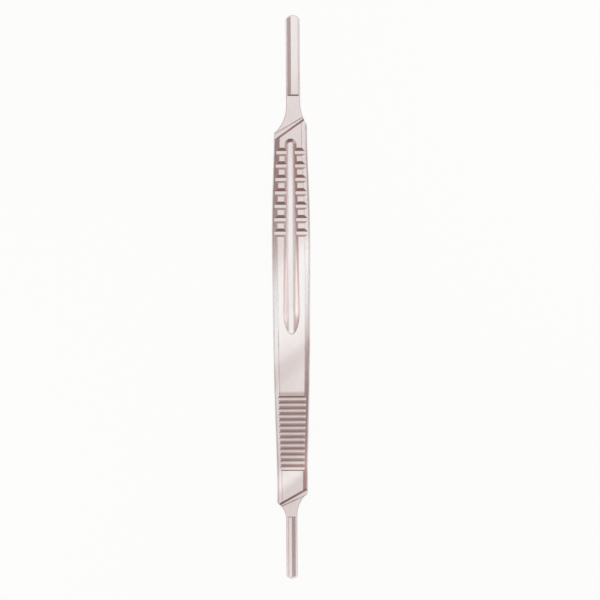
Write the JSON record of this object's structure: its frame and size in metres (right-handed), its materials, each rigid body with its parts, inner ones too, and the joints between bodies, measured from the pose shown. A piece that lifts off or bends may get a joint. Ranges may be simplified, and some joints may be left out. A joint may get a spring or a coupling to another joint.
{
  "type": "scalpel handle",
  "caption": "Double-ended flat steel scalpel handle with a large and a small blade fitting, a channel, square pads and scallops for grip.",
  "frame": {"origin": "centre of the footprint, on the flat back face that it lies on", "axes": "+Y along the handle towards the large fitting, +Z out of the front face, +X to the right seen from the front"},
  "size_m": [0.0116, 0.17, 0.0032],
  "materials": {
    "steel": "satin polished stainless steel"
  },
  "bodies": {
    "root": {"scalpel_handle": "steel"}
  },
  "joints": []
}
